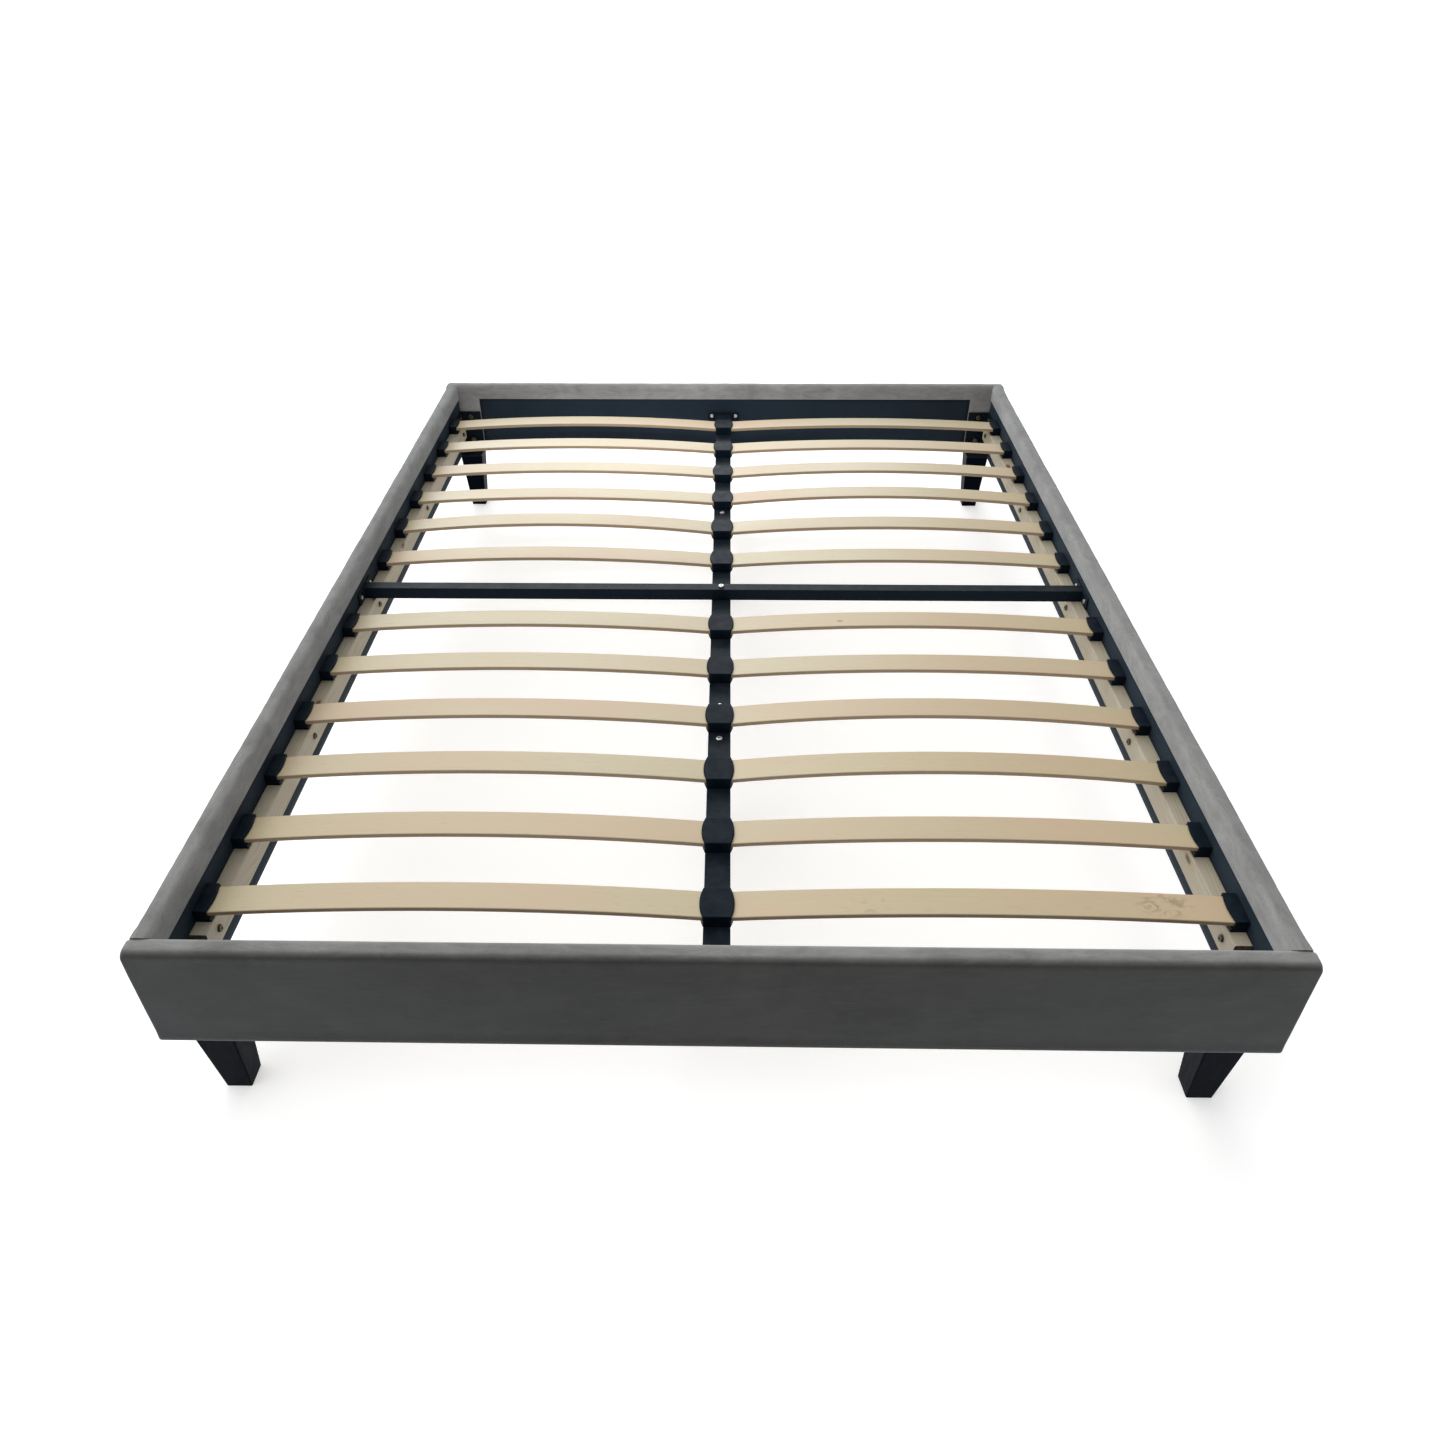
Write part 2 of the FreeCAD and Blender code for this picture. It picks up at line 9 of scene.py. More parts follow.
import bmesh
import bpy
import numpy as np
from mathutils import Matrix, Vector, noise


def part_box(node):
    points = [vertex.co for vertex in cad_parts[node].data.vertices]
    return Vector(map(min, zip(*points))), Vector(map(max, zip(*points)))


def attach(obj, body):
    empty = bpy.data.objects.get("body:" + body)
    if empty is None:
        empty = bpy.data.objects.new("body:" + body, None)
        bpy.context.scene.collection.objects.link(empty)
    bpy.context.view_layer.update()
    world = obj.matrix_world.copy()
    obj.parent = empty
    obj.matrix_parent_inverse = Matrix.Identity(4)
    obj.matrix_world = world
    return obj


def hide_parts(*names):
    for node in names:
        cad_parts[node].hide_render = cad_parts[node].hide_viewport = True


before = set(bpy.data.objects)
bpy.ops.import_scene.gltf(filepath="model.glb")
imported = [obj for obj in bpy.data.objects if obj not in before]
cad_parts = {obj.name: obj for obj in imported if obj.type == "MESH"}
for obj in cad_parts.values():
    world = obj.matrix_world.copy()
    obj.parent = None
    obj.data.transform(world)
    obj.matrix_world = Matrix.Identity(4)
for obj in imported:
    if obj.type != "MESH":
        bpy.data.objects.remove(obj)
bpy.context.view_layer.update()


# --- Rail boards ---------------------------------------------------------------------------------
# Each of the four rails is a length of bare particle board, sawn from a large sheet. The pressed
# chips show on its faces and ends wherever the cover and the lining leave it open.
def add(tree, kind, inputs=None, out=0, **settings):
    """Add a shader node and return one of its outputs. Inputs are values or other outputs."""
    node = tree.nodes.new("ShaderNode" + kind)
    for name, value in settings.items():
        setattr(node, name, value)
    for socket, value in (inputs or {}).items():
        if isinstance(value, bpy.types.NodeSocket):
            tree.links.new(value, node.inputs[socket])
        else:
            node.inputs[socket].default_value = value
    return node.outputs[out]


def maths(tree, operation, a, b=0.0, c=0.0):
    return add(tree, "Math", {0: a, 1: b, 2: c}, operation=operation)


def mix(tree, amount, first, second, way="MIX"):
    """Mix two colours by an amount from 0 to 1."""
    return add(tree, "Mix", {0: amount, 6: first, 7: second}, out=2,
               data_type="RGBA", blend_type=way)


def between(tree, value, low, high, to_low=0.0, to_high=1.0):
    """Bring a value from the range low..high into another range, and hold it there."""
    return add(tree, "MapRange", {0: value, 1: low, 2: high, 3: to_low, 4: to_high})


def scaled(tree, vector, scale, shift=(0.0, 0.0, 0.0)):
    return add(tree, "Mapping", {"Vector": vector, "Scale": scale, "Location": shift})


def speckle(tree, vector, scale, detail=2.0, roughness=0.5, distortion=0.0):
    return add(tree, "TexNoise", {"Vector": vector, "Scale": scale, "Detail": detail,
                                  "Roughness": roughness, "Distortion": distortion})


def bump(tree, height, distance, normal=None):
    inputs = {"Height": height, "Distance": distance}
    if normal is not None:
        inputs["Normal"] = normal
    return add(tree, "Bump", inputs)


def new_finish(name, roughness, metallic=0.0):
    """A new material, its tree and shader, and the coordinates of the piece that wears it."""
    material = bpy.data.materials.new(name)
    material.use_nodes = True
    tree = material.node_tree
    shader = tree.nodes["Principled BSDF"]
    shader.inputs["Roughness"].default_value = roughness
    shader.inputs["Metallic"].default_value = metallic
    return material, tree, shader, add(tree, "TexCoord", out=3)


def drive(tree, shader, **sockets):
    """Wire outputs into the shader: an underscore stands for a space in a socket's name."""
    for name, output in sockets.items():
        tree.links.new(output, shader.inputs[name.replace("_", " ")])


def dress(material, *nodes):
    """Put a material on CAD nodes in place of their plain one."""
    for name in nodes:
        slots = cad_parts[name].data.materials
        slots.clear()
        slots.append(material)


def particle_board():
    chip_size = 0.004
    material, tree, shader, here = new_finish("particle_board", 0.8)
    chips = add(tree, "TexVoronoi", {"Vector": here, "Scale": 1 / chip_size}, out=1)
    chip_tone = add(tree, "SeparateColor", {0: chips})
    tone = maths(tree, "MULTIPLY_ADD", chip_tone, 0.7, speckle(tree, here, 9.0, 3.0))
    colour = mix(tree, between(tree, tone, 0.3, 1.3), (0.42, 0.29, 0.16, 1), (0.72, 0.56, 0.36, 1))
    crumbs = speckle(tree, here, 900.0, 4.0, 0.7)
    drive(tree, shader, Base_Color=colour, Normal=bump(tree, crumbs, 0.0006))
    return material


rail_sides = ("foot", "head", "left", "right")
dress(particle_board(), *[side + "_rail_board" for side in rail_sides])


# --- Rail covers ---------------------------------------------------------------------------------
# Grey suede cloth over a thin layer of foam, pulled round each board, turned down over its inner
# face and stapled under the lining. The foam fills the cloth out a little and softens its edges.
cover_top_radius = 0.012
cover_bottom_radius = 0.003
cover_end_radius = 0.004
cover_mesh_step = 0.006
cap_flattening = (1 / 3, 2 / 3)         # rings of points across an end rail's end
cover_crease = math.radians(50)         # an edge sharper than this isn't smoothed over
foam_start = 0.0012                     # the slack cloth starts this far inside its full shape
foam_swell = 0.0026                     # the furthest that the foam pushes it out
foam_steps = 20
stapled_margin = 0.02                   # cloth this near to the staples hardly swells
swelling_freely = 0.98                  # above this share the cloth isn't held at all
board_clearance = 0.0003
squeezed_end = 0.025                    # a side rail's foam is pressed out over the end rails
squeezed_share = 0.85                   # the part of their rounding that it fills
broad_wave = 0.0008                     # height of the cloth's long waves
small_wave = 0.0003                     # height of the short ones between them
edge_pull = 0.0009                      # depth of the pulls below the top edge
edge_pull_reach = 0.07                  # how far down they run
end_shade_reach = (0.016, 0.010)          # so near to its end, an end rail's inner face gets the painted shade of an outer face
pressed_ring = (0.765, -0.738, 0.350)   # a ring left in the nap on top of the right rail
pressed_ring_radius = 0.0035
wrap_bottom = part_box("foot_rail_lining")[1].z
rail_turns = {"foot": 0.0, "right": 90.0, "head": 180.0, "left": -90.0}


class Rail:
    """One rail's own directions: u along it, d from its outer face inwards, and z up."""

    def __init__(self, side):
        along, across = (0, 1) if side in ("foot", "head") else (1, 0)
        low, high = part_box(side + "_rail_cover")
        board_low, board_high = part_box(side + "_rail_board")
        lining_low, lining_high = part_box(side + "_rail_lining")
        self.side = side
        self.turn = math.radians(rail_turns[side])
        self.face = max(-low[across], high[across])
        self.half = high[along]
        self.depth = high[across] - low[across]
        self.bottom, self.top = low.z, high.z
        self.board_half, self.board_z = board_high[along], (board_low.z, board_high.z)
        self.board_d = self.depths(board_low[across], board_high[across])
        self.lining_half = lining_high[along]
        self.lining_d = self.depths(lining_low[across], lining_high[across])
        self.ends_covered = self.half > self.board_half + board_clearance

    def depths(self, one, other):
        """Distances inwards from the outer face, the smaller first."""
        return sorted((self.face - abs(one), self.face - abs(other)))

    def place(self, points):
        """Points given as (u, d, z), in the bed's own frame."""
        u, d, z = np.asarray(points).T
        inward = d - self.face
        cos, sin = math.cos(self.turn), math.sin(self.turn)
        return np.column_stack((u * cos - inward * sin, u * sin + inward * cos, z))


def steps(start, end, step=cover_mesh_step):
    """Even steps of about that length from start to end, without the end itself."""
    return np.linspace(start, end, max(1, round(abs(end - start) / step)) + 1)[:-1]


def quarter(centre_d, centre_z, radius, start, count):
    """A quarter turn in count steps, without its last point."""
    turns = np.radians(np.linspace(start, start + 90, count + 1)[:-1])
    return np.column_stack((centre_d + radius * np.cos(turns), centre_z + radius * np.sin(turns)))


def straight(start, end, count):
    """A straight run in count steps, without its last point."""
    return np.linspace(start, end, count + 1)[:-1]


def cover_section(rail, inset, top_drop):
    """Outline of the cover across the rail: up its inner face, over, down, and back below."""
    near, far, bottom = inset, rail.depth - inset, rail.bottom + inset
    top, round_top, r = rail.top - top_drop, cover_top_radius - inset / 2, cover_bottom_radius
    arch = top - round_top
    low_count = len(steps(rail.bottom, wrap_bottom))
    return np.vstack((
        straight((far, bottom + r), (far, wrap_bottom), low_count),
        straight((far, wrap_bottom), (far, arch), 5),
        quarter(far - round_top, arch, round_top, 0, 5),
        straight((far - round_top, top), (near + round_top, top), 2),
        quarter(near + round_top, arch, round_top, 90, 5),
        straight((near, arch), (near, wrap_bottom), 5),
        straight((near, wrap_bottom), (near, bottom + r), low_count),
        quarter(near + r, bottom + r, r, 180, 2),
        straight((near + r, bottom), (far - r, bottom), 4),
        quarter(far - r, bottom + r, r, 270, 2)))


def cover_ring(rail, u, flat):
    """The outline at u, rounded off near a covered end and flattened across it by flat."""
    from_end = rail.half - abs(u) if rail.ends_covered else rail.half

    def eased(radius):
        return radius - math.sqrt(radius ** 2 - max(0.0, radius - from_end) ** 2)

    outline = cover_section(rail, eased(cover_end_radius), eased(cover_top_radius))
    outline[:, 0] = rail.depth / 2 + (outline[:, 0] - rail.depth / 2) * flat
    places = np.full(len(outline), u)
    if not rail.ends_covered:
        over = np.clip(outline[:, 1] - (rail.top - cover_top_radius), 0, 0.9 * cover_top_radius)
        hollow = cover_top_radius - np.sqrt(cover_top_radius ** 2 - over ** 2)
        near_end = max(0.0, 1 - (rail.half - abs(u)) / squeezed_end)
        places += math.copysign(near_end, u) * hollow * squeezed_share
    return np.column_stack((places, outline))


def ring_places(rail):
    """Places of the rings along the rail, close together where a covered end is rounded."""
    if not rail.ends_covered:
        return list(steps(rail.half, -rail.half)) + [-rail.half]
    rounding = rail.half - cover_top_radius * (1 - np.cos(np.radians(np.linspace(0, 90, 7))))[:-1]
    outer = list(rounding) + list(steps(rail.half - cover_top_radius, rail.lining_half))
    inner = list(steps(rail.lining_half, -rail.lining_half))
    return outer + inner + [-rail.lining_half] + [-u for u in reversed(outer)]


def cover_skin(rail):
    """Points and faces of the cover's outer skin, and the faces that the lining replaces."""
    rings = [cover_ring(rail, u, 1.0) for u in ring_places(rail)]
    if rail.ends_covered:
        caps = [cover_ring(rail, rail.half, flat) for flat in cap_flattening]
        rings = caps + rings + [ring * (-1, 1, 1) for ring in reversed(caps)]
    count = len(rings[0])
    low_count = len(steps(rail.bottom, wrap_bottom))
    under_lining = set(range(low_count)) | {count - 1, count - 2}
    faces, window = [], []
    for i in range(len(rings) - 1):
        lined = max(abs(rings[i][0, 0]), abs(rings[i + 1][0, 0])) <= rail.lining_half + 1e-6
        for k in range(count):
            after = (k + 1) % count
            face = (i * count + k, (i + 1) * count + k, (i + 1) * count + after, i * count + after)
            (window if lined and k in under_lining else faces).append(face)
    if rail.ends_covered:
        faces += end_strip(count, 0, False) + end_strip(count, (len(rings) - 1) * count, True)
    return np.vstack(rings), faces, window


def end_strip(count, start, turned):
    """Faces that close the innermost ring of an end, each from a point to its opposite one."""
    low_middle = count - 4
    across = 2 * low_middle - count
    made = []
    for step in range(count // 2):
        k = (low_middle + step) % count
        after = (k + 1) % count
        corners = [k, after, (across - after) % count, (across - k) % count]
        face = [start + c for c in dict.fromkeys(corners)]
        made.append(tuple(reversed(face)) if turned else tuple(face))
    return made


def new_mesh(name, points, faces):
    mesh = bpy.data.meshes.new(name)
    mesh.from_pydata([tuple(p) for p in points], [], faces)
    mesh.validate()
    piece = bpy.data.objects.new(name, mesh)
    bpy.context.scene.collection.objects.link(piece)
    return piece


def point_normals(piece):
    normals = np.empty(len(piece.data.vertices) * 3)
    piece.data.vertex_normals.foreach_get("vector", normals)
    return normals.reshape(-1, 3)


def foam_filled(rail, points, faces):
    """Blow the cloth out on its foam by a cloth simulation, held where it is stapled."""
    below = np.abs(points[:, 2] - rail.bottom)
    behind = np.clip(points[:, 1] - (rail.depth - cover_top_radius), 0, None) / cover_top_radius
    free = np.clip(below / stapled_margin, 0, 1) * (1 - np.clip(behind, 0, 1))
    if not rail.ends_covered:
        free *= np.clip((rail.half - np.abs(points[:, 0])) / stapled_margin, 0, 1)
    piece = new_mesh(rail.side + "_cover_cloth", points, faces)
    outward = point_normals(piece)
    start = points - outward * (foam_start * free)[:, None]
    piece.data.vertices.foreach_set("co", start.ravel())
    held = piece.vertex_groups.new(name="stapled")
    for index in np.flatnonzero(free < swelling_freely):
        held.add([int(index)], float(1 - free[index]), "REPLACE")
    cloth = piece.modifiers.new("foam", "CLOTH")
    settings = cloth.settings
    settings.quality = 4
    settings.mass = 0.35
    settings.tension_stiffness = settings.compression_stiffness = 8.0
    settings.shear_stiffness = 4.0
    settings.bending_stiffness = 0.6
    settings.shrink_min = -0.01
    settings.use_pressure = True
    settings.uniform_pressure_force = 4.0
    settings.effector_weights.gravity = 0.0
    settings.vertex_group_mass = "stapled"
    cloth.collision_settings.use_collision = False
    scene = bpy.context.scene
    for step in range(1, foam_steps + 1):
        scene.frame_set(step)
    seen = piece.evaluated_get(bpy.context.evaluated_depsgraph_get()).to_mesh()
    blown = np.empty(len(points) * 3)
    seen.vertices.foreach_get("co", blown)
    scene.frame_set(1)
    bpy.data.objects.remove(piece)
    move = blown.reshape(-1, 3) - start
    out_by = np.clip((move * outward).sum(1), 0, foam_swell)
    return start + outward * out_by[:, None], outward, free


def ripples(rail, points, outward, free):
    """Faint waves in the cloth, and short pulls down from the top edge where it is stapled."""
    seed = 7.3 * (1 + rail_sides.index(rail.side))
    lift = np.empty(len(points))
    for i, (u, d, z) in enumerate(points):
        broad = noise.noise(Vector((u * 5 + seed, d * 8, z * 11)))
        small = noise.noise(Vector((u * 22, d * 20 + seed, z * 30)))
        near_top = max(0.0, 1 - (rail.top - z) / edge_pull_reach)
        pull = abs(noise.noise(Vector((u * 30 + seed, seed, z * 9)))) * near_top
        lift[i] = broad_wave * broad + small_wave * small - edge_pull * pull
    return points + outward * (lift * free)[:, None]


def with_inner_skin(name, rail, points, faces):
    """Close the cover: its other skin lies on the board, and the two meet along every edge."""
    gap = board_clearance
    u_limit = rail.board_half + (gap if rail.ends_covered else 0.0)
    inner = np.column_stack((
        np.clip(points[:, 0], -u_limit, u_limit),
        np.clip(points[:, 1], rail.board_d[0] - gap, rail.board_d[1] + gap),
        np.clip(points[:, 2], rail.board_z[0] - gap, rail.board_z[1] + gap)))
    made = bmesh.new()
    outside = [made.verts.new(p) for p in rail.place(points)]
    inside = [made.verts.new(p) for p in rail.place(inner)]
    for face in faces:
        made.faces.new([outside[i] for i in face])
        made.faces.new([inside[i] for i in reversed(face)])
    made.verts.index_update()
    for edge in [e for e in made.edges if e.is_boundary and e.verts[0].index < len(points)]:
        loop = edge.link_loops[0]
        a, b = loop.vert.index, loop.link_loop_next.vert.index
        made.faces.new([outside[b], outside[a], inside[a], inside[b]])
    bmesh.ops.remove_doubles(made, verts=inside, dist=1e-5)
    bmesh.ops.delete(made, geom=[v for v in made.verts if not v.link_faces], context="VERTS")
    for face in made.faces:
        face.smooth = True
    for edge in made.edges:
        edge.smooth = len(edge.link_faces) == 2 and edge.calc_face_angle(0.0) < cover_crease
    mesh = bpy.data.meshes.new(name)
    made.to_mesh(mesh)
    made.free()
    piece = bpy.data.objects.new(name, mesh)
    bpy.context.scene.collection.objects.link(piece)
    return piece


def suede(rail):
    """Short-napped grey cloth. Its colour is painted darker on the outer face and the ends as shade,
    and paler on top and on the inner face as painted light."""
    # outer is painted shade for outward faces; top and inner are painted light for the top and the
    # inner face
    outer, top, inner = (0.032, 0.031, 0.028, 1), (0.225, 0.225, 0.216, 1), (0.262, 0.260, 0.255, 1)
    material, tree, shader, here = new_finish(rail.side + "_suede", 0.85)
    shader.inputs["Sheen Weight"].default_value = 0.5
    shader.inputs["Sheen Roughness"].default_value = 0.38
    shader.inputs["Sheen Tint"].default_value = (0.82, 0.90, 1.0, 1)
    shader.inputs["Specular IOR Level"].default_value = 0.2
    stretch = (0.3, 1.0, 1.0) if rail.ends_covered else (1.0, 0.3, 1.0)
    clouds = speckle(tree, here, 9.0, 4.0, 0.6, 0.6)
    strokes = speckle(tree, scaled(tree, here, stretch), 48.0, 5.0, 0.68, 1.2)
    nap = speckle(tree, here, 330.0, 3.0, 0.75)
    inwards = (-math.sin(rail.turn), math.cos(rail.turn), 0.0)
    lengthwise = (math.cos(rail.turn), math.sin(rail.turn), 0.0)

    def reach(vector, way):
        return add(tree, "VectorMath", {0: vector, 1: way}, out=1, operation="DOT_PRODUCT")

    turned_in = reach(add(tree, "NewGeometry", out=1), inwards)
    turned_end = reach(add(tree, "NewGeometry", out=1), lengthwise)
    # Near its ends an end rail's inner face is given the painted shade of an outer face.
    if rail.ends_covered:
        outermost = maths(tree, "ABSOLUTE", reach(here, lengthwise))
        past_side_rail = between(tree, outermost, rail.half - end_shade_reach[0],
                                 rail.half - end_shade_reach[1])
        shaded_near_end = maths(tree, "MULTIPLY", maths(tree, "MAXIMUM", turned_in, 0.0), past_side_rail)
        turned_in = maths(tree, "MULTIPLY_ADD", shaded_near_end, -2.0, turned_in)
    faced_out = maths(tree, "POWER", maths(tree, "MINIMUM", turned_in, 0.0), 2.0)
    faced_out = maths(tree, "SQRT", maths(tree, "MULTIPLY_ADD", turned_end, turned_end, faced_out))
    tone = maths(tree, "MULTIPLY_ADD", clouds, 0.35, maths(tree, "MULTIPLY", strokes, 0.45))
    tone = maths(tree, "MULTIPLY_ADD", nap, 0.20, tone)
    brushed = between(tree, tone, 0.36, 0.64, 0.68, 1.28)
    # Painted shade where a face turns outwards or along the rail, painted light on top and on the
    # inner face.
    colour = mix(tree, between(tree, faced_out, 0.98, 0.25), outer, top)
    colour = mix(tree, between(tree, turned_in, 0.2, 0.9), colour, inner)
    colour = mix(tree, 1.0, colour, add(tree, "CombineColor", {0: brushed, 1: brushed, 2: brushed}),
                 "MULTIPLY")
    from_ring = add(tree, "VectorMath", {0: here, 1: pressed_ring}, out=1, operation="DISTANCE")
    off_ring = maths(tree, "ABSOLUTE", maths(tree, "SUBTRACT", from_ring, pressed_ring_radius))
    on_ring = between(tree, off_ring, 0.0012, 0.0004)
    colour = mix(tree, maths(tree, "MULTIPLY", on_ring, 0.6), colour, (0.55, 0.55, 0.52, 1))
    fibres = speckle(tree, here, 1500.0, 2.0, 0.6)
    height = maths(tree, "MULTIPLY_ADD", strokes, 0.8, fibres)
    drive(tree, shader, Base_Color=colour, Normal=bump(tree, height, 0.0005),
          Roughness=between(tree, strokes, 0.3, 0.7, 0.78, 0.95))
    return material


def make_cover(side):
    rail = Rail(side)
    points, faces, window = cover_skin(rail)
    points, outward, free = foam_filled(rail, points, faces + window)
    points = ripples(rail, points, outward, free)
    cover = with_inner_skin(side + "_cover", rail, points, faces)
    cover.data.materials.append(suede(rail))
    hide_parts(side + "_rail_cover")
    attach(cover, "frame")


for side in rail_sides:
    make_cover(side)


# --- Linings -------------------------------------------------------------------------------------
# A strip of dark non-woven cloth hides the board's inner face and the raw edge of the suede. It
# is stapled tight along its top and bottom, and its edges are turned under as a flat hem.
lining_thickness = 0.0006
lining_hem_width = 0.012
lining_hem_thickness = 0.0005
lining_slack = 0.0003
lining_slack_margin = 0.03              # nearer than this to an edge the cloth is tighter
lining_step = 0.01


def lining_mesh(rail):
    """Front and back of the strip, joined round its rim."""
    us = np.append(steps(-rail.lining_half, rail.lining_half, lining_step), rail.lining_half)
    zs = np.append(steps(rail.bottom, wrap_bottom, lining_step), wrap_bottom)
    rows, columns = len(zs), len(us)
    front, back = [], []
    for u in us:
        for z in zs:
            edge = min(z - rail.bottom, wrap_bottom - z)
            hem = lining_hem_thickness * max(0.0, 1 - edge / lining_hem_width)
            slack = lining_slack * noise.noise(Vector((u * 9, rail.turn, z * 25)))
            middle = (rail.lining_d[0] + rail.lining_d[1]) / 2
            middle += slack * min(1.0, edge / lining_slack_margin)
            front.append((u, middle + lining_thickness / 2 + hem, z))
            back.append((u, middle - lining_thickness / 2, z))
    count = len(front)
    faces = []
    for i in range(columns - 1):
        for k in range(rows - 1):
            a, b = i * rows + k, (i + 1) * rows + k
            faces.append((a, a + 1, b + 1, b))
            faces.append((count + a, count + b, count + b + 1, count + a + 1))
    rim = [i * rows for i in range(columns)]
    rim += [(columns - 1) * rows + k for k in range(1, rows)]
    rim += [i * rows + rows - 1 for i in reversed(range(columns - 1))]
    rim += list(reversed(range(1, rows - 1)))
    for a, b in zip(rim, rim[1:] + rim[:1]):
        faces.append((a, b, count + b, count + a))
    return rail.place(front + back), faces


def non_woven():
    """Spun-bonded cloth: fine tangled threads, pressed together in rows of small dots."""
    dot_spacing = 0.0016
    material, tree, shader, here = new_finish("lining_cloth", 0.7)
    shader.inputs["Specular IOR Level"].default_value = 0.1
    shader.inputs["Sheen Weight"].default_value = 0.05
    shader.inputs["Sheen Tint"].default_value = (0.60, 0.80, 1.0, 1)
    dots = add(tree, "TexVoronoi", {"Vector": here, "Scale": 1 / dot_spacing,
                                    "Randomness": 0.25})
    threads = speckle(tree, here, 1100.0, 3.0, 0.7, 1.5)
    clouds = speckle(tree, here, 13.0, 3.0)
    colour = mix(tree, clouds, (0.008, 0.015, 0.024, 1), (0.015, 0.025, 0.038, 1))
    height = maths(tree, "MULTIPLY_ADD", threads, 0.5, between(tree, dots, 0.15, 0.4))
    drive(tree, shader, Base_Color=colour, Normal=bump(tree, height, 0.00025),
          Roughness=between(tree, threads, 0.3, 0.7, 0.6, 0.8))
    return material


def make_lining(side, cloth):
    rail = Rail(side)
    points, faces = lining_mesh(rail)
    lining = new_mesh(side + "_lining", points, faces)
    lining.data.polygons.foreach_set("use_smooth", [True] * len(faces))
    lining.data.materials.append(cloth)
    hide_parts(side + "_rail_lining")
    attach(lining, "frame")


lining_cloth = non_woven()
for side in rail_sides:
    make_lining(side, lining_cloth)


# --- Corner brackets -----------------------------------------------------------------------------
# Pressed steel, folded to stand against the two rails and over the top of the leg, and powder
# coated black. The coat is thin at the sheared edges, where handling has rubbed it paler.
def new_group(name, given, gives):
    """A node group with these inputs, as name: (kind, default), and outputs, as name: kind."""
    group = bpy.data.node_groups.new(name, "ShaderNodeTree")
    for socket, (kind, default) in given.items():
        made = group.interface.new_socket(socket, in_out="INPUT",
                                          socket_type="NodeSocket" + kind)
        made.default_value = default
    for socket, kind in gives.items():
        group.interface.new_socket(socket, in_out="OUTPUT", socket_type="NodeSocket" + kind)
    entry = group.nodes.new("NodeGroupInput")
    leave = group.nodes.new("NodeGroupOutput")
    return group, entry.outputs, leave.inputs


def use(tree, group, **inputs):
    """Place a node group in a tree and return its outputs by name."""
    node = tree.nodes.new("ShaderNodeGroup")
    node.node_tree = group
    for name, value in inputs.items():
        socket = node.inputs[name.replace("_", " ")]
        if isinstance(value, bpy.types.NodeSocket):
            tree.links.new(value, socket)
        else:
            socket.default_value = value
    return node.outputs


def worn_edge_group():
    """Where an edge is rubbed, and a normal that rounds the edge off."""
    group, given, gives = new_group("worn_edge", {
        "Place": ("Vector", (0, 0, 0)), "Radius": ("Float", 0.001)},
        {"Rubbed": "Float", "Normal": "Vector"})
    rounded = add(group, "Bevel", {"Radius": given["Radius"]}, samples=4)
    flat = add(group, "NewGeometry", out=1)
    same = add(group, "VectorMath", {0: rounded, 1: flat}, out=1, operation="DOT_PRODUCT")
    turned = between(group, same, 0.995, 0.88)
    patches = between(group, speckle(group, given["Place"], 90.0, 4.0, 0.7), 0.45, 0.65)
    group.links.new(maths(group, "MULTIPLY", turned, patches), gives["Rubbed"])
    group.links.new(rounded, gives["Normal"])
    return group


def dust_group():
    """Thin dust on whatever faces up, gathered in drifts."""
    group, given, gives = new_group("dust", {
        "Place": ("Vector", (0, 0, 0)), "Amount": ("Float", 0.3)}, {"Dust": "Float"})
    facing = add(group, "SeparateXYZ", {0: add(group, "NewGeometry", out=1)}, out=2)
    upward = between(group, facing, 0.6, 1.0)
    drifts = between(group, speckle(group, given["Place"], 35.0, 5.0, 0.7), 0.4, 0.75)
    dust = maths(group, "MULTIPLY", maths(group, "MULTIPLY", upward, drifts), given["Amount"])
    group.links.new(dust, gives["Dust"])
    return group


worn_edge = worn_edge_group()
dust = dust_group()


def coated_steel(name, coat, roughness, edge_radius):
    """Powder-coated steel: a fine orange-peel skin, rubbed edges and a little dust."""
    material, tree, shader, here = new_finish(name, roughness)
    shader.inputs["Specular IOR Level"].default_value = 0.06
    shader.inputs["Specular Tint"].default_value = (0.62, 0.82, 1.0, 1)
    edge = use(tree, worn_edge, Place=here, Radius=edge_radius)
    settled = use(tree, dust, Place=here, Amount=0.05)["Dust"]
    clouds = speckle(tree, here, 18.0, 3.0)
    dark, pale = [[c * share for c in coat] + [1] for share in (0.8, 1.25)]
    colour = mix(tree, clouds, dark, pale)
    colour = mix(tree, maths(tree, "MULTIPLY", edge["Rubbed"], 0.5), colour, (0.11, 0.12, 0.13, 1))
    colour = mix(tree, settled, colour, (0.30, 0.29, 0.27, 1))
    peel = speckle(tree, here, 700.0, 2.0, 0.5)
    drive(tree, shader, Base_Color=colour,
          Roughness=between(tree, clouds, 0.25, 0.75, roughness - 0.06, roughness + 0.08),
          Normal=bump(tree, peel, 0.00012, edge["Normal"]))
    return material


corners = [end + "_" + side for end in ("foot", "head") for side in ("left", "right")]
bracket_black = coated_steel("bracket_powder_coat", (0.006, 0.010, 0.015), 0.48, 0.0008)
dress(bracket_black, *["corner_bracket_" + corner for corner in corners])


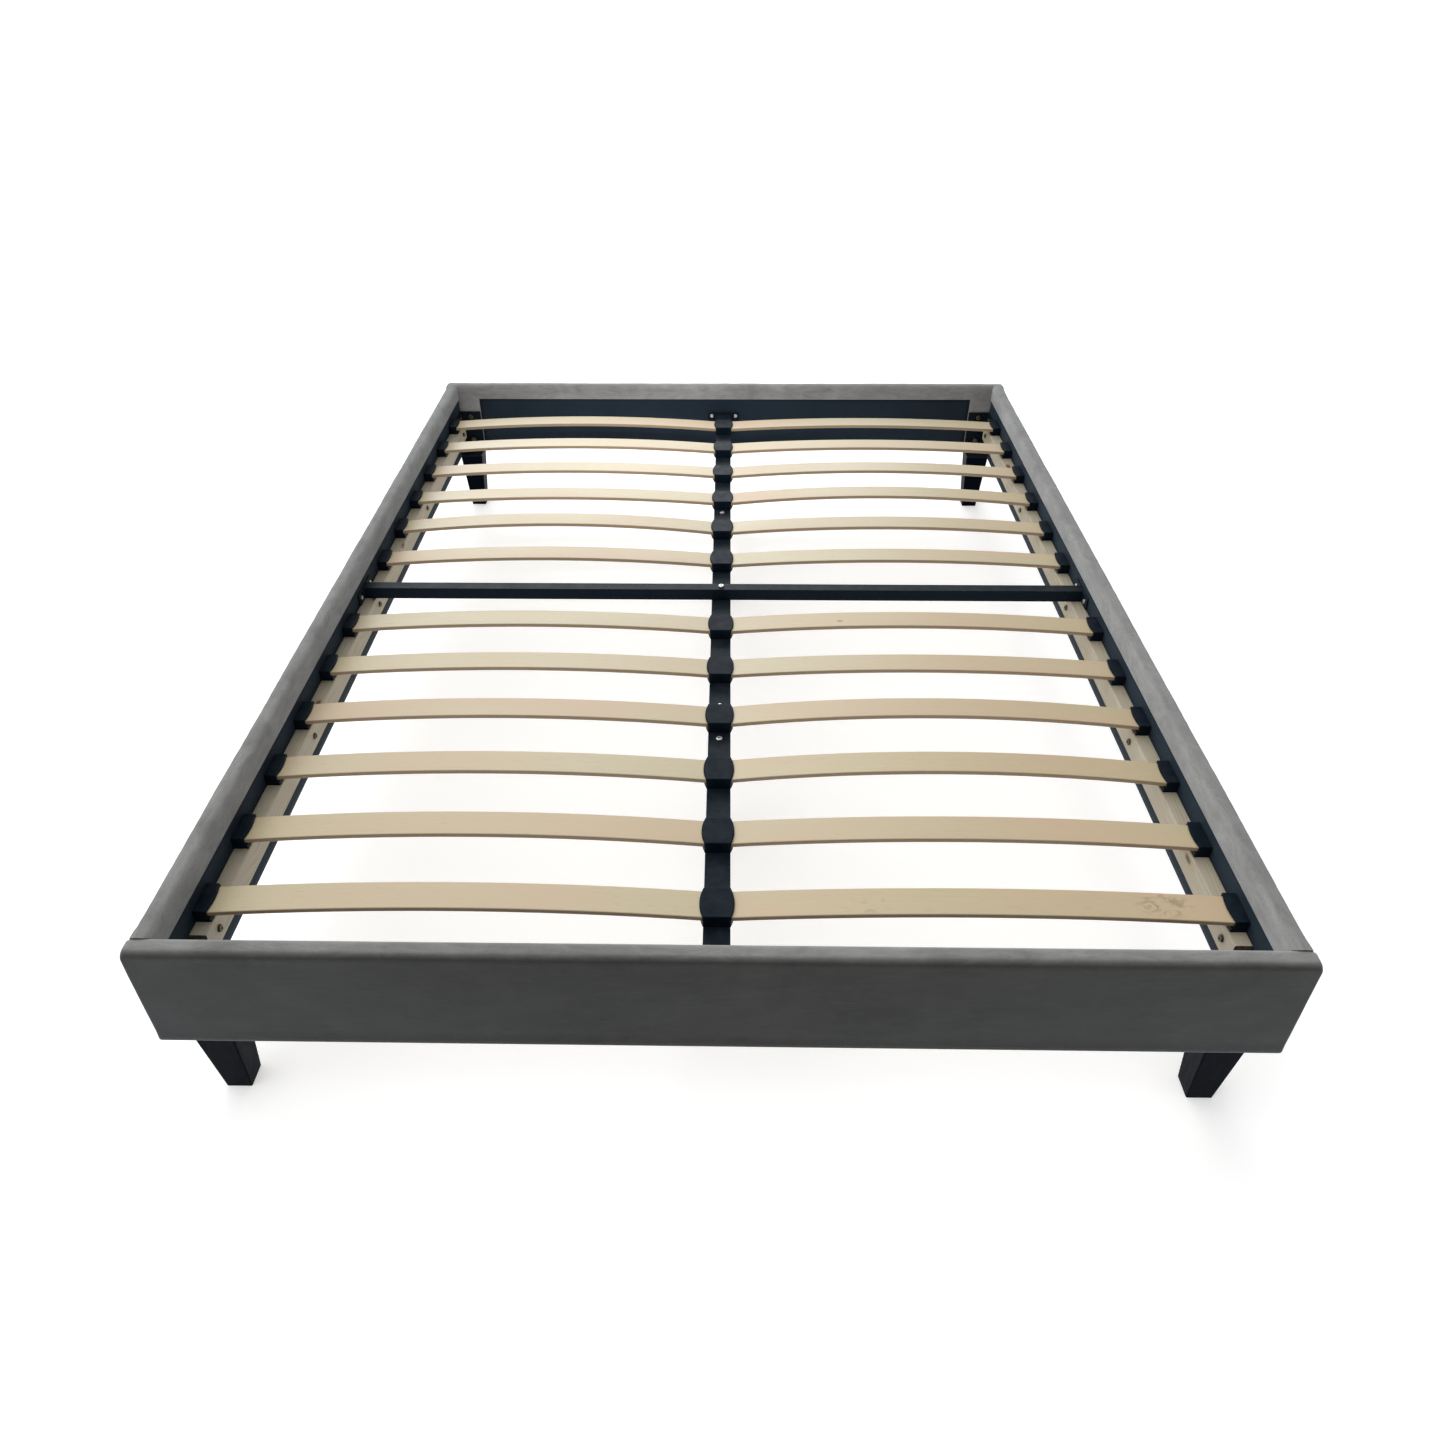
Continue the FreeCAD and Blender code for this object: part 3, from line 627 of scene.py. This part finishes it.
# --- Legs ----------------------------------------------------------------------------------------
# Four tapered square legs, moulded in black plastic with a fine satin texture. One bolt comes
# down through the bracket into a thread in each leg, and the foot end is scuffed by the floor.
def leg_plastic():
    scuff_height = 0.03
    material, tree, shader, here = new_finish("leg_plastic", 0.4)
    shader.inputs["Specular IOR Level"].default_value = 0.02
    shader.inputs["Specular Tint"].default_value = (0.62, 0.82, 1.0, 1)
    edge = use(tree, worn_edge, Place=here, Radius=0.0012)
    height = add(tree, "SeparateXYZ", {0: here}, out=2)
    streaks = speckle(tree, scaled(tree, here, (1.0, 1.0, 0.25)), 160.0, 5.0, 0.7)
    scuffs = maths(tree, "MULTIPLY", between(tree, height, scuff_height, 0.0),
                   between(tree, streaks, 0.5, 0.8))
    colour = mix(tree, scuffs, (0.001, 0.0025, 0.006, 1), (0.025, 0.026, 0.030, 1))
    colour = mix(tree, maths(tree, "MULTIPLY", edge["Rubbed"], 0.25), colour, (0.04, 0.045, 0.055, 1))
    texture = speckle(tree, here, 1400.0, 2.0, 0.6)
    drive(tree, shader, Base_Color=colour,
          Roughness=between(tree, streaks, 0.3, 0.8, 0.34, 0.55),
          Normal=bump(tree, texture, 0.00008, edge["Normal"]))
    return material


dress(leg_plastic(), *["leg_" + corner for corner in corners])


# --- Bolts and screws ----------------------------------------------------------------------------
# Plated steel with domed socket heads. Those in the wood and the brackets are olive passivated,
# with their plate painted dark as the shade round their heads, and those of the hangers, the cross
# bar and the support legs are plain bright zinc.
def plated_steel(name, dull, bright, tarnished):
    material, tree, shader, here = new_finish(name, 0.32, metallic=1.0)
    edge = use(tree, worn_edge, Place=here, Radius=0.0004)
    clouds = speckle(tree, here, 260.0, 3.0, 0.6)
    tarnish = between(tree, speckle(tree, here, 70.0, 4.0, 0.7), 0.5, 0.75)
    colour = mix(tree, clouds, dull, bright)
    colour = mix(tree, maths(tree, "MULTIPLY", tarnish, 0.5), colour, tarnished)
    turning = speckle(tree, here, 2200.0, 2.0)
    drive(tree, shader, Base_Color=colour, Roughness=between(tree, clouds, 0.3, 0.7, 0.24, 0.45),
          Normal=bump(tree, turning, 0.00004, edge["Normal"]))
    return material


# Olive passivated plate, with its colour painted dark as the shade round these bolt heads.
dress(plated_steel("olive_plate_painted_shade", (0.075, 0.065, 0.040, 1), (0.16, 0.14, 0.09, 1),
                   (0.05, 0.045, 0.03, 1)), "corner_bolts", "ledge_bolts")
dress(plated_steel("zinc_plate", (0.46, 0.46, 0.45, 1), (0.72, 0.71, 0.68, 1),
                   (0.36, 0.30, 0.20, 1)), "beam_bolts")


# --- Ledges --------------------------------------------------------------------------------------
# A planed pine batten along each side rail, bolted through the lining into the board. It is bare
# wood, with its rings along it and a few knots, and its sawn ends are painted dark as shade.
def wood_grain_group():
    """Long-grained wood. Place has the grain along its X, in metres."""
    group, given, gives = new_group("wood_grain", {
        "Place": ("Vector", (0, 0, 0)), "Pale": ("Color", (0.7, 0.6, 0.45, 1)),
        "Ring": ("Color", (0.5, 0.4, 0.25, 1)), "Ring Spacing": ("Float", 0.005),
        "Ring Strength": ("Float", 0.5), "Fleck Strength": ("Float", 0.2)},
        {"Colour": "Color", "Height": "Float", "Pores": "Float"})
    wander = scaled(group, given["Place"], (0.05, 1.0, 1.0))
    drift = speckle(group, wander, 28.0, 2.0, 0.5)
    across = add(group, "SeparateXYZ", {0: wander}, out=1)
    down = add(group, "SeparateXYZ", {0: wander}, out=2)
    radius = maths(group, "MULTIPLY_ADD", down, 0.6, across)
    radius = maths(group, "MULTIPLY_ADD", drift, 0.05, radius)
    turn = maths(group, "DIVIDE", radius, given["Ring Spacing"])
    rings = maths(group, "POWER", maths(group, "PINGPONG", turn, 0.5), 1.6)
    rings = maths(group, "MULTIPLY", rings, 3.0)
    fibre = speckle(group, scaled(group, given["Place"], (0.02, 1.0, 1.0)), 900.0, 3.0, 0.6)
    pores = between(group, speckle(group, scaled(group, given["Place"], (0.06, 1.0, 1.0)),
                                   620.0, 2.0, 0.5), 0.62, 0.74)
    tone = maths(group, "MULTIPLY", rings, given["Ring Strength"])
    tone = maths(group, "MULTIPLY_ADD", fibre, 0.22, tone)
    colour = mix(group, tone, given["Pale"], given["Ring"])
    fleck = maths(group, "MULTIPLY", pores, given["Fleck Strength"])
    colour = mix(group, fleck, colour, (0.22, 0.14, 0.08, 1))
    group.links.new(colour, gives["Colour"])
    group.links.new(maths(group, "MULTIPLY_ADD", pores, -0.6, fibre), gives["Height"])
    group.links.new(pores, gives["Pores"])
    return group


wood_grain = wood_grain_group()


def pine():
    """Pine with its grain along the rail: turn the coordinates so that it runs along X."""
    knot_spacing = 0.042
    material, tree, shader, here = new_finish("planed_pine", 0.6)
    along = add(tree, "VectorRotate", {"Vector": here, "Angle": math.radians(-90)},
                rotation_type="Z_AXIS")
    cells = add(tree, "TexVoronoi", {"Vector": scaled(tree, along, (0.45, 1.0, 1.0)),
                                     "Scale": 1 / knot_spacing})
    bent = add(tree, "VectorMath", {0: along, 1: maths(tree, "MULTIPLY", cells, 0.004)},
               operation="ADD")
    grain = use(tree, wood_grain, Place=bent, Pale=(0.43, 0.39, 0.30, 1), Ring=(0.28, 0.22, 0.14, 1),
                Ring_Spacing=0.0045, Ring_Strength=0.45, Fleck_Strength=0.15)
    knot = between(tree, cells, 0.16, 0.09)
    halo = between(tree, cells, 0.34, 0.12)
    colour = mix(tree, maths(tree, "MULTIPLY", halo, 0.45), grain["Colour"], (0.38, 0.24, 0.12, 1))
    colour = mix(tree, knot, colour, (0.10, 0.055, 0.03, 1))
    # Painted shade: faces that look along the batten, its sawn ends, are painted dark and mottled.
    facing = add(tree, "SeparateXYZ", {0: add(tree, "NewGeometry", out=1)}, out=1)
    end_grain = between(tree, maths(tree, "ABSOLUTE", facing), 0.7, 0.95)
    end_shade_mottle = between(tree, speckle(tree, here, 160.0, 4.0, 0.7), 0.3, 0.7)
    painted_end_shade = mix(tree, end_shade_mottle, (0.16, 0.12, 0.09, 1), (0.07, 0.055, 0.045, 1))
    colour = mix(tree, end_grain, colour, painted_end_shade)
    edge = use(tree, worn_edge, Place=here, Radius=0.0012)
    drive(tree, shader, Base_Color=colour, Roughness=between(tree, grain["Pores"], 0, 1, 0.55, 0.75),
          Normal=bump(tree, grain["Height"], 0.0003, edge["Normal"]))
    return material


dress(pine(), "left_ledge", "right_ledge")


# --- Centre beam, hangers and cross bar ----------------------------------------------------------
# Square steel tube, powder coated black. The beam drops into a cradle on each end rail, and the
# bar lies across the ledges and the beam with a welded plate screwed to each side rail.
tube_black = coated_steel("tube_powder_coat", (0.006, 0.011, 0.017), 0.42, 0.0016)
dress(tube_black, "centre_beam", "cross_bar")
dress(bracket_black, "beam_hanger_head", "beam_hanger_foot")


# --- Support legs and levelling feet -------------------------------------------------------------
# Two steel legs bolted under the beam, each with a screw foot that is turned by its hexagon to
# meet the floor. The foot's pad is black nylon, and its hexagon and stem are bright steel.
def levelling_foot():
    pad_top = 0.0082
    thread_pitch = 0.00125
    material, tree, shader, here = new_finish("levelling_foot", 0.5)
    height = add(tree, "SeparateXYZ", {0: here}, out=2)
    steel = maths(tree, "GREATER_THAN", height, pad_top)
    clouds = speckle(tree, here, 150.0, 3.0, 0.6)
    plated = mix(tree, clouds, (0.40, 0.40, 0.40, 1), (0.66, 0.65, 0.63, 1))
    nylon = mix(tree, clouds, (0.012, 0.013, 0.016, 1), (0.030, 0.031, 0.034, 1))
    thread = maths(tree, "SINE", maths(tree, "MULTIPLY", height, 2 * math.pi / thread_pitch))
    rough = speckle(tree, here, 1500.0, 2.0)
    skin = mix(tree, steel, rough, thread)
    edge = use(tree, worn_edge, Place=here, Radius=0.0005)
    drive(tree, shader, Base_Color=mix(tree, steel, nylon, plated), Metallic=steel,
          Roughness=between(tree, clouds, 0.3, 0.7, 0.3, 0.55),
          Normal=bump(tree, skin, 0.0002, edge["Normal"]))
    return material


dress(tube_black, "support_leg_front", "support_leg_rear")
dress(levelling_foot(), "levelling_foot_front", "levelling_foot_rear")


# --- Slat caps -----------------------------------------------------------------------------------
# Black moulded plastic holders, pegged into the ledges and the beam, that the slats' ends slide
# into. Their spark-eroded texture is satin, and it is rubbed where a slat has been pushed in.
def cap_plastic():
    material, tree, shader, here = new_finish("cap_plastic", 0.42)
    shader.inputs["Specular IOR Level"].default_value = 0.045
    shader.inputs["Specular Tint"].default_value = (0.62, 0.82, 1.0, 1)
    edge = use(tree, worn_edge, Place=here, Radius=0.0010)
    settled = use(tree, dust, Place=here, Amount=0.04)["Dust"]
    clouds = speckle(tree, here, 60.0, 3.0)
    colour = mix(tree, clouds, (0.003, 0.007, 0.012, 1), (0.007, 0.012, 0.019, 1))
    colour = mix(tree, maths(tree, "MULTIPLY", edge["Rubbed"], 0.3), colour, (0.07, 0.08, 0.09, 1))
    colour = mix(tree, settled, colour, (0.28, 0.27, 0.25, 1))
    eroded = speckle(tree, here, 1300.0, 3.0, 0.65)
    drive(tree, shader, Base_Color=colour, Roughness=between(tree, clouds, 0.3, 0.7, 0.36, 0.52),
          Normal=bump(tree, eroded, 0.00010, edge["Normal"]))
    return material


dress(cap_plastic(), "slat_caps_left", "slat_caps_right", "slat_caps_centre")


# --- Slats ---------------------------------------------------------------------------------------
# Two columns of twelve slats in bent birch ply. The faces are pale, satin and fine-grained, and
# the sanded edges show the plies. Each is cut from other veneer, so no two are quite one colour.
slat_rows = 12
slat_thickness = 0.008
ply_thickness = 0.0016
slat_pale = (0.478, 0.420, 0.262)
slat_warm = (0.478, 0.375, 0.215)
worm_brown = (0.20, 0.15, 0.09, 1)
ink = (0.015, 0.015, 0.02, 1)
slat_marks = {                          # x, y, size, cut of the noise, strength and tint
    "slat_right_12": [(0.653, -0.901, 0.030, 0.50, 0.55, worm_brown),
                      (0.223, -0.911, 0.024, 0.52, 0.30, worm_brown)],
    "slat_right_11": [(0.160, -0.785, 0.006, 0.40, 0.9, ink)],
    "slat_right_10": [(0.049, -0.636, 0.007, 0.40, 0.9, ink)],
    "slat_right_07": [(0.240, -0.143, 0.005, 0.30, 0.8, worm_brown)]}


def slat_plies_group():
    """Plies seen on a slat's long edges, following its arc."""
    group, given, gives = new_group("slat_plies", {
        "Place": ("Vector", (0, 0, 0)), "Crown": ("Float", 0.29), "Rise": ("Float", 0.012),
        "Middle": ("Float", 0.38), "Half": ("Float", 0.37)}, {"Edge": "Float", "Glue": "Float"})
    x, z = [add(group, "SeparateXYZ", {0: given["Place"]}, out=i) for i in (0, 2)]
    away = maths(group, "DIVIDE", maths(group, "SUBTRACT", x, given["Middle"]), given["Half"])
    fall = maths(group, "MULTIPLY", maths(group, "POWER", away, 2.0), given["Rise"])
    depth = maths(group, "SUBTRACT", maths(group, "SUBTRACT", given["Crown"], fall), z)
    glue = between(group, maths(group, "PINGPONG", depth, ply_thickness / 2), 0.0003, 0.0001)
    side = add(group, "SeparateXYZ", {0: add(group, "NewGeometry", out=1)}, out=1)
    group.links.new(between(group, maths(group, "ABSOLUTE", side), 0.35, 0.8), gives["Edge"])
    group.links.new(glue, gives["Glue"])
    return group


slat_plies = slat_plies_group()


def slat_wood(name):
    """The wood of one slat, with its own place in the veneer."""
    low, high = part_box(name)
    number = int(name[-2:]) + (slat_rows if "right" in name else 0)
    warmth = 0.5 + 0.5 * math.sin(number * 2.4)
    pale = [a + (b - a) * warmth * 0.45 for a, b in zip(slat_pale, slat_warm)] + [1]
    material, tree, shader, here = new_finish(name + "_birch", 0.45)
    shader.inputs["Coat Weight"].default_value = 0.20
    shader.inputs["Coat Roughness"].default_value = 0.32
    cut = scaled(tree, here, (1.0, 1.0, 1.0), (number * 1.7, number * 0.37, number * 0.11))
    grain = use(tree, wood_grain, Place=cut, Pale=pale, Ring=(0.60, 0.47, 0.31, 1),
                Ring_Spacing=0.011, Ring_Strength=0.10, Fleck_Strength=0.30)
    clouds = speckle(tree, scaled(tree, cut, (0.3, 1.0, 1.0)), 7.0, 3.0)
    colour = mix(tree, between(tree, clouds, 0.45, 0.75), grain["Colour"],
                 (0.54, 0.39, 0.26, 1))
    stains = between(tree, speckle(tree, scaled(tree, cut, (0.35, 1.0, 1.0)), 55.0, 5.0, 0.7, 1.0),
                     0.70, 0.80)
    patch = between(tree, speckle(tree, cut, 5.0, 1.0), 0.58, 0.66)
    colour = mix(tree, maths(tree, "MULTIPLY", maths(tree, "MULTIPLY", stains, patch), 0.7),
                 colour, (0.26, 0.20, 0.13, 1))
    for x, y, spread, edge, strength, tint in slat_marks.get(name, ()):
        offset = add(tree, "VectorMath", {0: here, 1: (x, y, high.z)}, operation="SUBTRACT")
        away = add(tree, "VectorMath", {0: scaled(tree, offset, (0.6, 1.0, 0.3))}, out=1,
                   operation="LENGTH")
        blot = speckle(tree, scaled(tree, here, (0.7, 1.0, 1.0)), 1.1 / spread, 4.0, 0.65, 1.6)
        shape = maths(tree, "MULTIPLY", between(tree, away, spread, 0.4 * spread),
                      between(tree, blot, edge, edge + 0.06))
        colour = mix(tree, maths(tree, "MULTIPLY", shape, strength), colour, tint)
    plies = use(tree, slat_plies, Place=here, Crown=high.z, Rise=high.z - low.z - slat_thickness,
                Middle=(low.x + high.x) / 2, Half=(high.x - low.x) / 2)
    edge_colour = mix(tree, plies["Glue"], (0.40, 0.29, 0.18, 1), (0.10, 0.06, 0.035, 1))
    colour = mix(tree, plies["Edge"], colour, edge_colour)
    worn = use(tree, worn_edge, Place=here, Radius=0.0010)
    drive(tree, shader, Base_Color=colour, Roughness=between(tree, clouds, 0.3, 0.7, 0.40, 0.52),
          Normal=bump(tree, grain["Height"], 0.00012, worn["Normal"]))
    return material


for column in ("left", "right"):
    for row in range(1, slat_rows + 1):
        slat = "slat_%s_%02d" % (column, row)
        dress(slat_wood(slat), slat)


# --- Studio --------------------------------------------------------------------------------------
# The bed stands on a pale floor under one broad soft light, with a low one behind the head and a
# spot on the middle of the head rail. The camera stands at the foot and looks down on it.
floor_half = 60.0


def pale_floor():
    material, tree, shader, here = new_finish("studio_floor", 0.75)
    shader.inputs["Emission Color"].default_value = (1.0, 1.0, 1.0, 1)
    shader.inputs["Emission Strength"].default_value = 0.40
    clouds = speckle(tree, here, 0.8, 3.0)
    drive(tree, shader, Base_Color=mix(tree, clouds, (0.84, 0.84, 0.84, 1), (0.87, 0.87, 0.87, 1)))
    return material


floor = new_mesh("studio_floor", [(x * floor_half, y * floor_half, 0.0) for x, y in
                                  ((-1, -1), (1, -1), (1, 1), (-1, 1))], [(0, 1, 2, 3)])
floor.data.materials.append(pale_floor())


def soft_sun(name, side, back, height, strength, spread):
    """A soft light from one direction: how far it stands to the right, behind and above."""
    lamp = bpy.data.lights.new(name, "SUN")
    lamp.energy, lamp.angle = strength, math.radians(spread)
    lit = bpy.data.objects.new(name, lamp)
    bpy.context.scene.collection.objects.link(lit)
    lit.rotation_euler = Vector((-side, -back, -height)).to_track_quat("-Z", "Y").to_euler()


soft_sun("overhead_softbox", -0.75, 0.35, 1.0, 2.3, 100)
soft_sun("behind_the_head", -0.1, 1.0, 0.38, 1.1, 36)

spot = bpy.data.lights.new("spot_on_the_head_rail", "SPOT")
spot.energy = 480.0
spot.shadow_soft_size = 0.3
spot.spot_size = math.radians(15)
spot.spot_blend = 1.0
spot_stand = bpy.data.objects.new("spot_on_the_head_rail", spot)
spot_stand.location = (-0.8, -2.6, 3.2)
spot_aim = Vector((-0.16, 1.02, 0.32)) - spot_stand.location
spot_stand.rotation_euler = spot_aim.to_track_quat("-Z", "Y").to_euler()
bpy.context.scene.collection.objects.link(spot_stand)

world = bpy.data.worlds.new("studio_air")
world.use_nodes = True
sky = world.node_tree.nodes["Background"]
sky.inputs["Color"].default_value = (1.0, 1.0, 1.0, 1)
sky.inputs["Strength"].default_value = 0.35
bpy.context.scene.world = world
bpy.context.scene.view_settings.view_transform = "Standard"

camera_place = Vector((0.0097, -1.9922, 1.4552))
camera_pitch = math.radians(37.895)       # down from level
camera_yaw = math.radians(-1.192)         # towards +X
camera_roll = math.radians(-0.327)
lens = bpy.data.cameras.new("camera")
lens.sensor_width = 36.0
lens.lens = 26.757
lens.shift_x = 0.01062
lens.shift_y = 0.00573
camera = bpy.data.objects.new("camera", lens)
bpy.context.scene.collection.objects.link(camera)
ahead = Vector((math.sin(camera_yaw) * math.cos(camera_pitch),
                math.cos(camera_yaw) * math.cos(camera_pitch), -math.sin(camera_pitch)))
right = Vector((math.cos(camera_yaw), -math.sin(camera_yaw), 0.0))
upwards = right.cross(ahead)
rolled_right = right * math.cos(camera_roll) + upwards * math.sin(camera_roll)
rolled_up = upwards * math.cos(camera_roll) - right * math.sin(camera_roll)
camera.matrix_world = Matrix.Translation(camera_place) @ Matrix(
    (rolled_right, rolled_up, -ahead)).transposed().to_4x4()
bpy.context.scene.camera = camera
